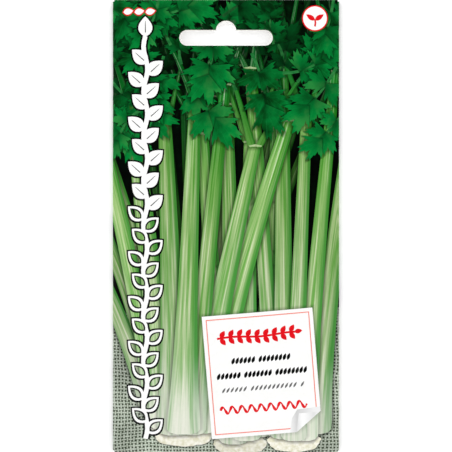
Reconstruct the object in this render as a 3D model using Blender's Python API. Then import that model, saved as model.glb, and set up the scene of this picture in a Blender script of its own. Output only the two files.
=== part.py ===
# Seed packet lying on its back: a folded paper envelope with a hanging slot, the glue
# strips that close it, the heat-sealed sachet inside and the seeds in that sachet.
# Metres, +Z up, top edge of the packet towards +Y, printed front facing +Z.
import math
import random

import bpy

MM = 0.001

# Driving dimensions of the closed packet
PACKET_WIDTH = 80 * MM
PACKET_HEIGHT = 160 * MM
BULGE = 2.8 * MM  # how far the filled front stands above the flat header
BULGE_PEAK_Y = -28 * MM  # height of the fullest place on the front
BULGE_TOP_Y = 56 * MM  # above this only the glued header is left
HEADER_SLACK = 0.05  # share of the bulge that is left at BULGE_TOP_Y

# Paper blank
PAPER = 0.2 * MM
PLY_GAP = 0.2 * MM  # between two plies that are glued together
LAP_WIDTH = 10 * MM  # overlap of the side flaps down the middle of the back
LAP_STEP = 2 * MM  # width of the step that lifts the inner flap over the outer one
STEP_CLEARANCE = 1.5 * MM  # from the step to the edge of the flap that it clears
BOTTOM_FLAP = 18 * MM
TOP_FLAP = 25 * MM
END_FLAP_INSET = 0.6 * MM  # end flaps are narrower than the packet by this at each side
END_FLAP_TAPER = 0.05  # share of its width that an end flap loses by its free edge
SIDE_FLAP_INSET = 0.8 * MM  # side flaps stop short of each end by this
SIDE_FLAP_TAPER = 0.02
FOLD_SEGMENTS = 4
FRONT_COLUMNS = 16
FRONT_ROWS = 32
SIDE_FLAP_COLUMNS = 6
END_FLAP_ROWS = 4
SMALLEST_CELL = 0.02 * MM

# Hanging slot, measured from the top edge of the packet
SLOT_WIDTH = 33 * MM
SLOT_BAR = 5.55 * MM
SLOT_BAR_CENTRE_DROP = 13.6 * MM
HUMP_RADIUS = 3.6 * MM
HUMP_CENTRE_DROP = 11.15 * MM
ARC_SEGMENTS = 12

# Glue
GLUE = 0.1 * MM
SEAM_GLUE_WIDTH = 7 * MM
BOTTOM_GLUE_WIDTH = 8 * MM
TOP_GLUE_WIDTH = 3 * MM
GLUE_EDGE = 2 * MM  # from a glue strip to the free edge of the flap over it

# Sachet
FILM = 0.12 * MM
SEAL_GAP = 0.15 * MM  # between the two films where they are sealed
SACHET_WIDTH = 56 * MM
SACHET_BOTTOM_Y = -70 * MM
SACHET_TOP_Y = 12 * MM
SEAL_WIDTH = 5 * MM
POCKET = 1.55 * MM  # how far the filled pocket opens
SACHET_CLEARANCE = 0.3 * MM  # above the back of the envelope
SACHET_COLUMNS = 16
SACHET_ROWS = 22

# Seeds
HEAP_CENTRE_Y = -38 * MM
HEAP_HALF_WIDTH = 18 * MM
HEAP_HALF_HEIGHT = 23 * MM
HEAP_THICKNESS = 0.9 * MM  # at the middle, above the thickness at its rim
HEAP_RIM = 0.2 * MM
HEAP_CLEARANCE = 0.1 * MM  # above the back film
HEAP_CELLS = 32
SEED_RELIEF = 0.22 * MM
SEED_DRAW = 7

# Heights of the middle of each ply
LEVEL = PAPER + PLY_GAP
END_FLAP_Z = PAPER / 2
SIDE_FLAP_Z = END_FLAP_Z + LEVEL
LAP_Z = SIDE_FLAP_Z + LEVEL
FRONT_Z = LAP_Z + LEVEL
SIDE_FOLD_RADIUS = (FRONT_Z - SIDE_FLAP_Z) / 2
END_FOLD_RADIUS = (FRONT_Z - END_FLAP_Z) / 2

# Where the flat of the front panel ends and each fold begins
FOLD_X = PACKET_WIDTH / 2 - PAPER / 2 - SIDE_FOLD_RADIUS
FOLD_Y = PACKET_HEIGHT / 2 - PAPER / 2 - END_FOLD_RADIUS
END_FLAP_HALF = PACKET_WIDTH / 2 - END_FLAP_INSET
SIDE_FLAP_HALF = PACKET_HEIGHT / 2 - SIDE_FLAP_INSET

SACHET_Z = LAP_Z + PAPER / 2 + SACHET_CLEARANCE + FILM / 2


def clear_scene():
    for thing in list(bpy.data.objects):
        bpy.data.objects.remove(thing, do_unlink=True)


def make_material(name, colour, roughness, metallic=0.0):
    material = bpy.data.materials.new(name)
    material.use_nodes = True
    shader = material.node_tree.nodes["Principled BSDF"]
    shader.inputs["Base Color"].default_value = (*colour, 1.0)
    shader.inputs["Roughness"].default_value = roughness
    shader.inputs["Metallic"].default_value = metallic
    return material


def make_object(name, points, faces, material):
    mesh = bpy.data.meshes.new(name)
    mesh.from_pydata(points, [], faces)
    mesh.validate()
    mesh.materials.append(material)
    thing = bpy.data.objects.new(name, mesh)
    bpy.context.scene.collection.objects.link(thing)
    return thing


def thicken(thing, thickness):
    wall = thing.modifiers.new("wall", "SOLIDIFY")
    wall.thickness = thickness
    wall.offset = 0.0
    wall.use_even_offset = True
    return wall


def spread(start, end, count):
    return [start + (end - start) * i / count for i in range(count + 1)]


def round_fold(past, radius):
    """Distance past a fold's start -> how far out and how far down the sheet has gone."""
    turned = past / radius
    if turned < math.pi:
        return radius * math.sin(turned), radius * (1 - math.cos(turned))
    return math.pi * radius - past, 2 * radius


def front_bulge(x, y):
    across = 1 - (x / FOLD_X) ** 2
    if y < BULGE_PEAK_Y:
        along = 1 - ((y - BULGE_PEAK_Y) / (FOLD_Y + BULGE_PEAK_Y)) ** 2
    elif y < BULGE_TOP_Y:
        turn = math.pi * (y - BULGE_PEAK_Y) / (BULGE_TOP_Y - BULGE_PEAK_Y)
        along = HEADER_SLACK + (1 - HEADER_SLACK) * (1 + math.cos(turn)) / 2
    else:
        along = HEADER_SLACK * (FOLD_Y - y) / (FOLD_Y - BULGE_TOP_Y)
    return BULGE * max(across, 0.0) * max(along, 0.0)


def side_flap_height(x):
    """The left flap steps up before it reaches the edge of the right one."""
    step_end = -LAP_WIDTH / 2 - STEP_CLEARANCE
    lifted = (x - (step_end - LAP_STEP)) / LAP_STEP
    return SIDE_FLAP_Z + LEVEL * min(max(lifted, 0.0), 1.0)


def blank_to_packet(u, v):
    """Place on the flat blank, from the middle of its front panel -> place on the packet."""
    if abs(u) > FOLD_X:
        side = math.copysign(1, u)
        past = abs(u) - FOLD_X
        out, down = round_fold(past, SIDE_FOLD_RADIUS)
        x = side * (FOLD_X + out)
        y = v * (1 - SIDE_FLAP_TAPER * max(-out, 0.0) / FOLD_X)
        z = FRONT_Z - down
        if side < 0 and past > math.pi * SIDE_FOLD_RADIUS:
            z = side_flap_height(x)
        return x, y, z
    if abs(v) > FOLD_Y:
        end = math.copysign(1, v)
        out, down = round_fold(abs(v) - FOLD_Y, END_FOLD_RADIUS)
        length = TOP_FLAP if end > 0 else BOTTOM_FLAP
        x = u * (1 - END_FLAP_TAPER * max(-out, 0.0) / length)
        return x, end * (FOLD_Y + out), FRONT_Z - down
    return u, v, FRONT_Z + front_bulge(u, v)


def is_paper(u, v):
    """True on the cross-shaped blank, which has notches at its four corners."""
    on_front = abs(u) < FOLD_X and abs(v) < FOLD_Y
    on_side = abs(u) > FOLD_X and abs(v) < SIDE_FLAP_HALF
    on_end = abs(v) > FOLD_Y and abs(u) < END_FLAP_HALF
    return on_front or on_side or on_end


def fold_stops(radius):
    return [math.pi * radius * i / FOLD_SEGMENTS for i in range(FOLD_SEGMENTS + 1)]


def blank_columns():
    """From the free edge of the left flap to the free edge of the right one."""
    fold_end = FOLD_X + math.pi * SIDE_FOLD_RADIUS
    flap = FOLD_X + LAP_WIDTH / 2
    step = flap - LAP_WIDTH - STEP_CLEARANCE - LAP_STEP
    front = spread(-FOLD_X, FOLD_X, FRONT_COLUMNS) + [-END_FLAP_HALF, END_FLAP_HALF]
    folds = [FOLD_X + stop for stop in fold_stops(SIDE_FOLD_RADIUS)]
    right = spread(fold_end, fold_end + flap, SIDE_FLAP_COLUMNS)
    left = spread(fold_end, fold_end + step, SIDE_FLAP_COLUMNS)
    left += spread(fold_end + step + LAP_STEP, fold_end + flap, 2)
    return tidy_stops(front + folds + right + [-stop for stop in folds + left])


def blank_rows():
    """From the free edge of the bottom flap to the free edge of the top one."""
    fold_end = FOLD_Y + math.pi * END_FOLD_RADIUS
    front = spread(-FOLD_Y, FOLD_Y, FRONT_ROWS) + [-SIDE_FLAP_HALF, SIDE_FLAP_HALF]
    folds = [FOLD_Y + stop for stop in fold_stops(END_FOLD_RADIUS)]
    top = spread(fold_end, fold_end + TOP_FLAP, END_FLAP_ROWS)
    bottom = spread(fold_end, fold_end + BOTTOM_FLAP, END_FLAP_ROWS)
    return tidy_stops(front + folds + top + [-stop for stop in folds + bottom])


def tidy_stops(stops):
    kept = []
    for stop in sorted(stops):
        if not kept or stop - kept[-1] > SMALLEST_CELL:
            kept.append(stop)
    return kept


def make_sheet(name, columns, rows, place, material, holds=lambda u, v: True):
    """A grid of quads laid through place(u, v), with its outer side up."""
    index, points, faces = {}, [], []

    def corner(i, j):
        if (i, j) not in index:
            index[i, j] = len(points)
            points.append(place(columns[i], rows[j]))
        return index[i, j]

    for i in range(len(columns) - 1):
        for j in range(len(rows) - 1):
            if holds((columns[i] + columns[i + 1]) / 2, (rows[j] + rows[j + 1]) / 2):
                faces.append((corner(i, j), corner(i + 1, j), corner(i + 1, j + 1), corner(i, j + 1)))
    return make_object(name, points, faces, material)


def slot_outline():
    """Round-ended bar with a half-round hump over its middle, counter-clockwise from above."""
    bar_y = PACKET_HEIGHT / 2 - SLOT_BAR_CENTRE_DROP
    hump_y = PACKET_HEIGHT / 2 - HUMP_CENTRE_DROP
    radius = SLOT_BAR / 2
    reach = SLOT_WIDTH / 2 - radius
    outline = []
    for angle in spread(-math.pi / 2, math.pi / 2, ARC_SEGMENTS):
        outline.append((reach + radius * math.cos(angle), bar_y + radius * math.sin(angle)))
    rise = math.asin((bar_y + radius - hump_y) / HUMP_RADIUS)
    for angle in spread(rise, math.pi - rise, ARC_SEGMENTS):
        outline.append((HUMP_RADIUS * math.cos(angle), hump_y + HUMP_RADIUS * math.sin(angle)))
    for angle in spread(math.pi / 2, 3 * math.pi / 2, ARC_SEGMENTS):
        outline.append((-reach + radius * math.cos(angle), bar_y + radius * math.sin(angle)))
    return outline


def make_slot_cutter(material):
    outline = slot_outline()
    count = len(outline)
    low, high = -2 * MM, FRONT_Z + BULGE + 2 * MM
    points = [(x, y, low) for x, y in outline] + [(x, y, high) for x, y in outline]
    faces = [tuple(reversed(range(count))), tuple(range(count, 2 * count))]
    for i in range(count):
        after = (i + 1) % count
        faces.append((i, after, count + after, count + i))
    cutter = make_object("slot_cutter", points, faces, material)
    cutter.hide_render = True
    cutter.display_type = "WIRE"
    return cutter


def make_envelope():
    paper = make_material("coated_paper", (0.20, 0.42, 0.14), 0.45)
    envelope = make_sheet(
        "paper_envelope", blank_columns(), blank_rows(), blank_to_packet, paper, is_paper
    )
    thicken(envelope, PAPER)
    cut = envelope.modifiers.new("hanging_slot", "BOOLEAN")
    cut.operation = "DIFFERENCE"
    cut.solver = "EXACT"
    cut.object = make_slot_cutter(paper)
    return envelope


def make_glue_strip(name, low, high, z, material):
    """A thin flat bead between two plies, from corner low to corner high."""
    columns = spread(low[0], high[0], 4)
    rows = spread(low[1], high[1], 8)
    strip = make_sheet(name, columns, rows, lambda x, y: (x, y, z), material)
    thicken(strip, GLUE)
    return strip


def make_glue():
    glue = make_material("dried_glue", (0.85, 0.82, 0.70), 0.35)
    seam_half = SEAM_GLUE_WIDTH / 2
    seam_z = (SIDE_FLAP_Z + LAP_Z) / 2
    seam_top = PACKET_HEIGHT / 2 - TOP_FLAP + GLUE_EDGE
    make_glue_strip(
        "back_seam_glue",
        (-seam_half, -SIDE_FLAP_HALF + GLUE_EDGE),
        (seam_half, seam_top),
        seam_z,
        glue,
    )
    flap_z = (END_FLAP_Z + SIDE_FLAP_Z) / 2
    reach = END_FLAP_HALF * (1 - END_FLAP_TAPER) - GLUE_EDGE
    bottom_edge = -PACKET_HEIGHT / 2 + BOTTOM_FLAP - GLUE_EDGE
    make_glue_strip(
        "bottom_flap_glue", (-reach, bottom_edge - BOTTOM_GLUE_WIDTH), (reach, bottom_edge), flap_z, glue
    )
    top_edge = PACKET_HEIGHT / 2 - TOP_FLAP + GLUE_EDGE
    make_glue_strip(
        "top_flap_glue", (-reach, top_edge), (reach, top_edge + TOP_GLUE_WIDTH), flap_z, glue
    )


def pocket_opening(x, y):
    """How far the two films stand apart beyond the gap at their seals."""
    half = SACHET_WIDTH / 2 - SEAL_WIDTH
    low = SACHET_BOTTOM_Y + SEAL_GAP
    middle = (low + SACHET_TOP_Y - SEAL_WIDTH) / 2
    across = 1 - (x / half) ** 2
    along = 1 - ((y - middle) / (middle - low)) ** 2
    if across <= 0 or along <= 0:
        return 0.0
    return POCKET * across**0.7 * along**0.7


def sachet_place(x, w):
    """w runs from the free edge of the back film, through the bottom fold, up the front."""
    radius = (SEAL_GAP + FILM) / 2
    fold = math.pi * radius
    if abs(w) < fold / 2:
        angle = w / radius
        y = SACHET_BOTTOM_Y + radius * (1 - math.cos(angle))
        return x, y, SACHET_Z + radius + radius * math.sin(angle)
    y = SACHET_BOTTOM_Y + radius + abs(w) - fold / 2
    if w < 0:
        return x, y, SACHET_Z
    return x, y, SACHET_Z + 2 * radius + pocket_opening(x, y)


def make_sachet():
    film = make_material("metallised_film", (0.75, 0.76, 0.78), 0.25, 0.9)
    radius = (SEAL_GAP + FILM) / 2
    fold = math.pi * radius
    length = SACHET_TOP_Y - SACHET_BOTTOM_Y - radius
    half = SACHET_WIDTH / 2
    sealed = half - SEAL_WIDTH
    columns = tidy_stops(spread(-half, half, 2) + spread(-sealed, sealed, SACHET_COLUMNS))
    front = [fold / 2 + stop for stop in spread(0, length, SACHET_ROWS)]
    back = [-fold / 2 - stop for stop in spread(0, length, 4)]
    bend = spread(-fold / 2, fold / 2, FOLD_SEGMENTS)
    rows = tidy_stops(back + bend + front + [fold / 2 + length - SEAL_WIDTH])
    sachet = make_sheet("inner_sachet", columns, rows, sachet_place, film)
    thicken(sachet, FILM)
    return sachet


def heap_place(i, j, on_top, lift):
    """Square grid drawn out to an ellipse: flat below, domed on top, every other point raised."""
    a = 2 * i / HEAP_CELLS - 1
    b = 2 * j / HEAP_CELLS - 1
    disc_x = a * math.sqrt(1 - b * b / 2)
    disc_y = b * math.sqrt(1 - a * a / 2)
    z = SACHET_Z + FILM / 2 + HEAP_CLEARANCE
    if on_top:
        dome = HEAP_THICKNESS * max(1 - disc_x**2 - disc_y**2, 0.0)
        z += HEAP_RIM + dome + lift * SEED_RELIEF * ((i + j) % 2)
    return disc_x * HEAP_HALF_WIDTH, HEAP_CENTRE_Y + disc_y * HEAP_HALF_HEIGHT, z


def make_seeds():
    draw = random.Random(SEED_DRAW)
    seed = make_material("celery_seed", (0.24, 0.17, 0.09), 0.7)
    span = range(HEAP_CELLS + 1)
    points, index = [], {}
    for on_top in (True, False):
        for i in span:
            for j in span:
                index[on_top, i, j] = len(points)
                points.append(heap_place(i, j, on_top, draw.uniform(0.45, 1.0)))
    faces = []
    for i in range(HEAP_CELLS):
        for j in range(HEAP_CELLS):
            ring = [(i, j), (i + 1, j), (i + 1, j + 1), (i, j + 1)]
            if (i + j) % 2:
                ring = ring[1:] + ring[:1]
            top = [index[True, *cell] for cell in ring]
            under = [index[False, *cell] for cell in reversed(ring)]
            faces += [(top[0], top[1], top[2]), (top[0], top[2], top[3])]
            faces += [(under[0], under[1], under[3]), (under[1], under[2], under[3])]
    rim = [(i, 0) for i in range(HEAP_CELLS)] + [(HEAP_CELLS, j) for j in range(HEAP_CELLS)]
    rim += [(HEAP_CELLS - i, HEAP_CELLS) for i in range(HEAP_CELLS)]
    rim += [(0, HEAP_CELLS - j) for j in range(HEAP_CELLS)]
    for here, after in zip(rim, rim[1:] + rim[:1]):
        corners = (index[False, *here], index[False, *after], index[True, *after], index[True, *here])
        faces.append(corners)
    return make_object("seed_fill", points, faces, seed)


def main():
    clear_scene()
    make_envelope()
    make_glue()
    make_sachet()
    make_seeds()


main()
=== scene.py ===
import math
import random
from functools import partial
from types import SimpleNamespace

import bmesh
import bpy
import numpy as np
from mathutils import Matrix, Vector
from mathutils.bvhtree import BVHTree
from mathutils.geometry import delaunay_2d_cdt


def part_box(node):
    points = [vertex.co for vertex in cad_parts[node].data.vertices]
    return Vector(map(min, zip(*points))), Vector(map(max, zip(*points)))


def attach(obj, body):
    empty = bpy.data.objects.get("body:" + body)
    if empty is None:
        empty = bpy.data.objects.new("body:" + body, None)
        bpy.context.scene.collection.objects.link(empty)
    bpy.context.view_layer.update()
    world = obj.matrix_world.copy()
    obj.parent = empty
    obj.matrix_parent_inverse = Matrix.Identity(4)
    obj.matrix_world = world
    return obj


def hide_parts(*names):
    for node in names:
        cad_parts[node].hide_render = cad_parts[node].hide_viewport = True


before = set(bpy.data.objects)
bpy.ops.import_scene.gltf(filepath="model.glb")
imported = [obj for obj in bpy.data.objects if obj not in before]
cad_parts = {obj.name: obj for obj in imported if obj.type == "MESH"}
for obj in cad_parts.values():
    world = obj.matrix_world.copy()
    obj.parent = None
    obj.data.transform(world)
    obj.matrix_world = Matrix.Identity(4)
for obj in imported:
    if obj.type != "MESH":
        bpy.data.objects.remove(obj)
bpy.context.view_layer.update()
mm = 0.001


# The packet's paper, in millimetres

envelopeLow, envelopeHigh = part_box("paper_envelope")

packet = {
    "width": round((envelopeHigh.x - envelopeLow.x) / mm, 1),
    "height": round((envelopeHigh.y - envelopeLow.y) / mm, 1),
    "paper": 0.2,
    "plyGap": 0.2,
    "lap": 10,
    "lapStep": 2,
    "stepClearance": 1.5,
    "bottomFlap": 18,
    "topFlap": 25,
    "endFlapInset": 0.6,
    "endFlapTaper": 0.05,
    "sideFlapInset": 0.8,
    "sideFlapTaper": 0.02,
    "foldSteps": 4,
    "bulge": 2.8,
    "bulgePeak": -28,
    "bulgeTop": 56,
    "headerSlack": 0.05,
    "cell": 2.5,  # spacing of the points that carry the sheet's curve
    "ripple": 0.05,  # height of the slight waves in the filled front
    "bleed": 2.2,  # how far the picture runs past each fold on to the flaps
}

slotCut = {
    "width": 33,
    "bar": 5.55,
    "barDrop": 13.6,
    "humpRadius": 3.6,
    "humpDrop": 11.15,
    "arcSteps": 16,
}

ply = packet["paper"] + packet["plyGap"]
endFlapZ = packet["paper"] / 2
sideFlapZ = endFlapZ + ply
lapZ = sideFlapZ + ply
frontZ = lapZ + ply
sideRadius = (frontZ - sideFlapZ) / 2
endRadius = (frontZ - endFlapZ) / 2
foldX = packet["width"] / 2 - packet["paper"] / 2 - sideRadius
foldY = packet["height"] / 2 - packet["paper"] / 2 - endRadius
sideTurn = math.pi * sideRadius  # length of paper in a side fold
endTurn = math.pi * endRadius


def roundFold(past, radius):
    # distance past a fold's start -> how far out and how far down the sheet has gone
    angle = np.minimum(past / radius, math.pi)
    out = radius * np.sin(angle) - np.maximum(past - math.pi * radius, 0)
    return out, radius * (1 - np.cos(angle))


def frontBulge(x, y):
    across = np.clip(1 - (x / foldX) ** 2, 0, 1)
    peak, top, slack = packet["bulgePeak"], packet["bulgeTop"], packet["headerSlack"]
    low = 1 - ((y - peak) / (foldY + peak)) ** 2
    turn = np.clip((y - peak) / (top - peak), 0, 1) * math.pi
    high = slack + (1 - slack) * (1 + np.cos(turn)) / 2
    header = slack * (foldY - y) / (foldY - top)
    along = np.where(y < peak, low, np.where(y < top, high, header))
    ripples = (
        np.sin(x * 0.21 + y * 0.11 + 0.7)
        + 0.7 * np.sin(x * 0.34 - y * 0.07 + 2.1)
        + 0.5 * np.sin(y * 0.19 + np.sin(x * 0.13) * 2)
    )
    filled = packet["bulge"] * np.clip(along, 0, 1)
    return across * (filled + packet["ripple"] * ripples * np.clip(low, 0, 1))


def foldBlank(u, v):
    # place on the flat blank -> place of the sheet's middle on the packet
    sideOut, sideDown = roundFold(np.maximum(np.abs(u) - foldX, 0), sideRadius)
    endOut, endDown = roundFold(np.maximum(np.abs(v) - foldY, 0), endRadius)
    onSide, onEnd = np.abs(u) > foldX, np.abs(v) > foldY
    flap = np.where(v > 0, packet["topFlap"], packet["bottomFlap"])
    endShrink = 1 - packet["endFlapTaper"] * np.maximum(-endOut, 0) / flap
    sideShrink = 1 - packet["sideFlapTaper"] * np.maximum(-sideOut, 0) / foldX
    x = np.where(onSide, np.sign(u) * (foldX + sideOut), np.where(onEnd, u * endShrink, u))
    y = np.where(onSide, v * sideShrink, np.where(onEnd, np.sign(v) * (foldY + endOut), v))
    z = frontZ + np.where(onSide | onEnd, 0, frontBulge(u, v)) - np.where(onSide, sideDown, endDown)
    stepEnd = -packet["lap"] / 2 - packet["stepClearance"]
    lift = np.clip((x - stepEnd) / packet["lapStep"] + 1, 0, 1)
    leftFlap = (u < 0) & (np.abs(u) > foldX + sideTurn)
    return x, y, np.where(leftFlap, sideFlapZ + ply * lift, z)


def slotOutline():
    barY = packet["height"] / 2 - slotCut["barDrop"]
    humpY = packet["height"] / 2 - slotCut["humpDrop"]
    radius, hump, steps = slotCut["bar"] / 2, slotCut["humpRadius"], slotCut["arcSteps"]
    reach = slotCut["width"] / 2 - radius
    rise = math.asin((barY + radius - humpY) / hump)
    quarter = math.pi / 2
    outline = arc(reach, barY, radius, -quarter, quarter, steps + 1)
    outline += arc(0, humpY, hump, rise, math.pi - rise, steps + 1)
    return outline + arc(-reach, barY, radius, quarter, 3 * quarter, steps + 1)


# The three places on the blank that come to lie behind a point of the front.
def behindRight(x, y):
    return 2 * foldX + sideTurn - x, y / (1 - packet["sideFlapTaper"] * (foldX - x) / foldX)


def behindLeft(x, y):
    return -(2 * foldX + sideTurn + x), y / (1 - packet["sideFlapTaper"] * (foldX + x) / foldX)


def behindEnd(x, y):
    length = packet["topFlap"] if y > 0 else packet["bottomFlap"]
    v = math.copysign(2 * foldY + endTurn - abs(y), y)
    return x / (1 - packet["endFlapTaper"] * (foldY - abs(y)) / length), v


# Shapes of ink, drawn back to front on the flat blank

shapes = []
haloes = []  # a shape's number, and the loop round it where the soft shade that it casts runs out
windows = {}  # shape number -> first of the shapes that it cuts through


def addShape(ink, outline, place=None, tint=0.5, light=1.0, shade=0.0, halo=None):
    # place turns blank coordinates into the shape's own, which its ink reads as inkPlace
    shapes.append(
        {"ink": ink, "outline": outline, "place": place, "tint": tint, "light": light, "shade": shade}
    )
    if halo:
        haloes.append((len(shapes) - 1, halo))


def arc(x, y, radius, start, end, steps):
    angles = np.linspace(start, end, steps)
    return [(x + radius * math.cos(angle), y + radius * math.sin(angle)) for angle in angles]


def rectangle(left, low, right, high):
    return [(left, low), (right, low), (right, high), (left, high)]


def ellipse(x, y, width, height, turn=0.0, steps=28):
    outline = []
    for angle in np.linspace(0, 2 * math.pi, steps, endpoint=False):
        outline.append(turned(width / 2 * math.cos(angle), height / 2 * math.sin(angle), x, y, turn))
    return outline


def turned(a, b, x, y, turn):
    return x + a * math.cos(turn) - b * math.sin(turn), y + a * math.sin(turn) + b * math.cos(turn)


def ribbon(points, widths):
    # a band along a line, widths given at each point
    left, right = [], []
    for i, (x, y) in enumerate(points):
        beforeX, beforeY = points[max(i - 1, 0)]
        afterX, afterY = points[min(i + 1, len(points) - 1)]
        length = math.hypot(afterX - beforeX, afterY - beforeY)
        sideX, sideY = -(afterY - beforeY) / length, (afterX - beforeX) / length
        half = widths[i] / 2
        left.append((x + sideX * half, y + sideY * half))
        right.append((x - sideX * half, y - sideY * half))
    return right + left[::-1]


def curveThrough(start, bend, end, steps):
    # quadratic curve, pulled towards bend
    line = []
    for t in np.linspace(0, 1, steps + 1):
        line.append(
            tuple((1 - t) ** 2 * a + 2 * t * (1 - t) * b + t * t * c for a, b, c in zip(start, bend, end))
        )
    return line


stalk = {
    "pointEvery": 5.0,
    "sheath": 0.6,  # extra width at the foot, as a share of the width
    "sheathFade": 5.0,
    "haloWidth": 1.3,
}


def addStalk(foot, head, width, headWidth, bend, tint, light, shade=0.75):
    # foot and head are points of its middle line, bend above 1 keeps the foot upright
    footX, footY = foot
    headX, headY = head

    def middle(y):
        rise = np.clip((y - footY) / (headY - footY), 0, 1)
        return footX + (headX - footX) * rise**bend

    def halfWidth(y):
        rise = np.clip((y - footY) / (headY - footY), 0, 1)
        swell = 1 + stalk["sheath"] * np.exp(-rise * stalk["sheathFade"])
        return (headWidth + (width - headWidth) * (1 - rise) ** 0.8) * swell / 2

    def place(x, y):
        return (x - middle(y)) / halfWidth(y), y

    def outline(extra):
        steps = max(int((headY - footY) / stalk["pointEvery"]), 4)
        heights = [footY + (headY - footY) * i / steps for i in range(steps + 1)]
        rounded = [(footY - extra, 0.35), (footY + 0.6, 0.75), (footY + 1.8, 0.95)]
        sides = rounded + [(y, 1.0) for y in heights[1:]]
        right = [(float(middle(y) + halfWidth(y) * f + extra), y) for y, f in sides]
        left = [(float(middle(y) - halfWidth(y) * f - extra), y) for y, f in sides]
        return right + left[::-1]

    addShape("stalk", outline(0), place, tint, light, shade, outline(stalk["haloWidth"]))


leaflet = {
    "spread": 0.98,  # half angle of the fan that a leaflet fills, in radians
    "teeth": 12,
    "toothDepth": 0.09,
    "lobes": 3,
    "lobeDepth": 0.34,
    "sideLength": 0.66,  # length at the fan's edge, as a share of the middle
    "haloGrowth": 1.16,
}


def addLeaflet(foot, turn, length, draw, tint, light, shade=0.7):
    # a fan with a wedge foot, cut into lobes and toothed round its rim
    spread = leaflet["spread"] * draw.uniform(0.85, 1.1)
    lean = draw.uniform(-0.12, 0.12)
    wave = draw.uniform(0, 6.28)

    def reach(share, toothed):
        fan = 1 - (1 - leaflet["sideLength"]) * abs(share) ** 1.6
        notch = 0.5 - 0.5 * math.cos(math.pi * leaflet["lobes"] * (share + 1))
        lobe = 1 - leaflet["lobeDepth"] * notch**1.5
        return length * fan * lobe * (1 + lean * share) * (1 + toothed * leaflet["toothDepth"])

    def rim(steps, toothed, growth):
        outline = []
        for i in range(steps + 1):
            share = 2 * i / steps - 1
            zigzag = (1 if i % 2 else -1) * draw.uniform(0.6, 1.3) if toothed else 1
            size = reach(share, zigzag) * growth
            angle = share * spread + 0.05 * math.sin(wave + 5 * share)
            outline.append(turned(size * math.cos(angle), size * math.sin(angle), *foot, turn))
        return outline

    heel = [turned(-0.03 * length, 0, *foot, turn)]

    def place(x, y):
        along = (x - foot[0]) * math.cos(turn) + (y - foot[1]) * math.sin(turn)
        across = (y - foot[1]) * math.cos(turn) - (x - foot[0]) * math.sin(turn)
        return np.arctan2(across, along + 0.02 * length) / spread, np.hypot(along, across) / length

    halo = rim(9, False, leaflet["haloGrowth"]) + [turned(-0.12 * length, 0, *foot, turn)]
    addShape("leaf", rim(leaflet["teeth"] * 2, True, 1) + heel, place, tint, light, shade, halo)


def addSpray(foot, turn, length, draw, tint, light):
    # one celery leaf: a rachis with two pairs of leaflets and one at its end
    bow = draw.uniform(-0.25, 0.25)
    tip = turned(length, 0, *foot, turn)
    bend = turned(length * 0.5, length * bow, *foot, turn)
    line = curveThrough(foot, bend, tip, 5)
    addShape("petiole", ribbon(line, [1.1, 1.05, 0.95, 0.85, 0.75, 0.6]), None, tint, light, 0.5)
    size = length * 0.62
    for share, scale, angle in ((0.38, 0.78, 1.15), (0.72, 0.92, 0.85)):
        spot = line[round(share * 5)]
        for side in (-1, 1):
            addLeaflet(
                spot,
                turn + side * angle * draw.uniform(0.8, 1.15),
                size * scale * draw.uniform(0.85, 1.1),
                draw,
                tint + draw.uniform(-0.2, 0.2),
                light * draw.uniform(0.8, 1.0),
            )
    addLeaflet(tip, turn + draw.uniform(-0.2, 0.2), size * 1.05, draw, tint + 0.1, light)


picture = {
    "draw": 23,
    "beyond": 6,  # how far the drawing runs past the front, to be cropped
    "petiole": 2.1,  # width of the thin branches above a stalk's joint
    "petioleLength": (17, 27),
    "clothEdge": ((30, -31), (14, -44), (-12, -44)),  # where the sacking dips behind the bunches
    # leaves between the bunches: how many, across, along, lengths, light and tint
    "farLeaves": (12, (-44, 44), (26, 80), (15, 20), 0.14, 0.2),
    "midLeaves": (6, (-42, 42), (42, 80), (13, 18), 0.34, 0.4),
    "nearLeaves": (3, (-42, 24), (66, 84), (15, 19), 0.62, 0.5),
    # bunches: stalks, foot, where their heads reach across and up, width of a stalk, light, tint
    "farBunch": (10, (-8, -70), (-46, 46), (38, 64), 4.6, 0.3, 0.9),
    "bunches": (
        (4, (5, -78), (-14, 24), (30, 50), 6.8, 0.9, 0.5),
        (4, (-19, -71), (-72, -36), (20, 48), 6.0, 0.85, 0.5),
        (5, (24, -77), (6, 50), (36, 60), 6.8, 1.05, 0.5),
        (7, (-15, -75), (-50, 26), (26, 54), 7.6, 1.0, 0.5),
    ),
    "sprayLength": (10, 14.5),
    # leaves that hang over the stalks: foot, direction, length
    "hanging": (
        (-41, 52, -0.75, 18), (-22, 60, -1.9, 18), (-13, 53, -1.0, 18), (9, 61, -1.3, 19),
        (20, 54, 0.35, 15), (39, 56, -2.2, 17), (-4, 70, -1.7, 17), (-34, 66, -1.3, 17),
        (-30, 76, 0.1, 17), (38, 80, -1.8, 13), (-45, 43, -0.8, 17), (-30, 41, -2.2, 14),
        (43, 41, -2.3, 14), (-45, 82, -0.7, 16), (-24, 82, -1.9, 14),
    ),
}


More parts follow.
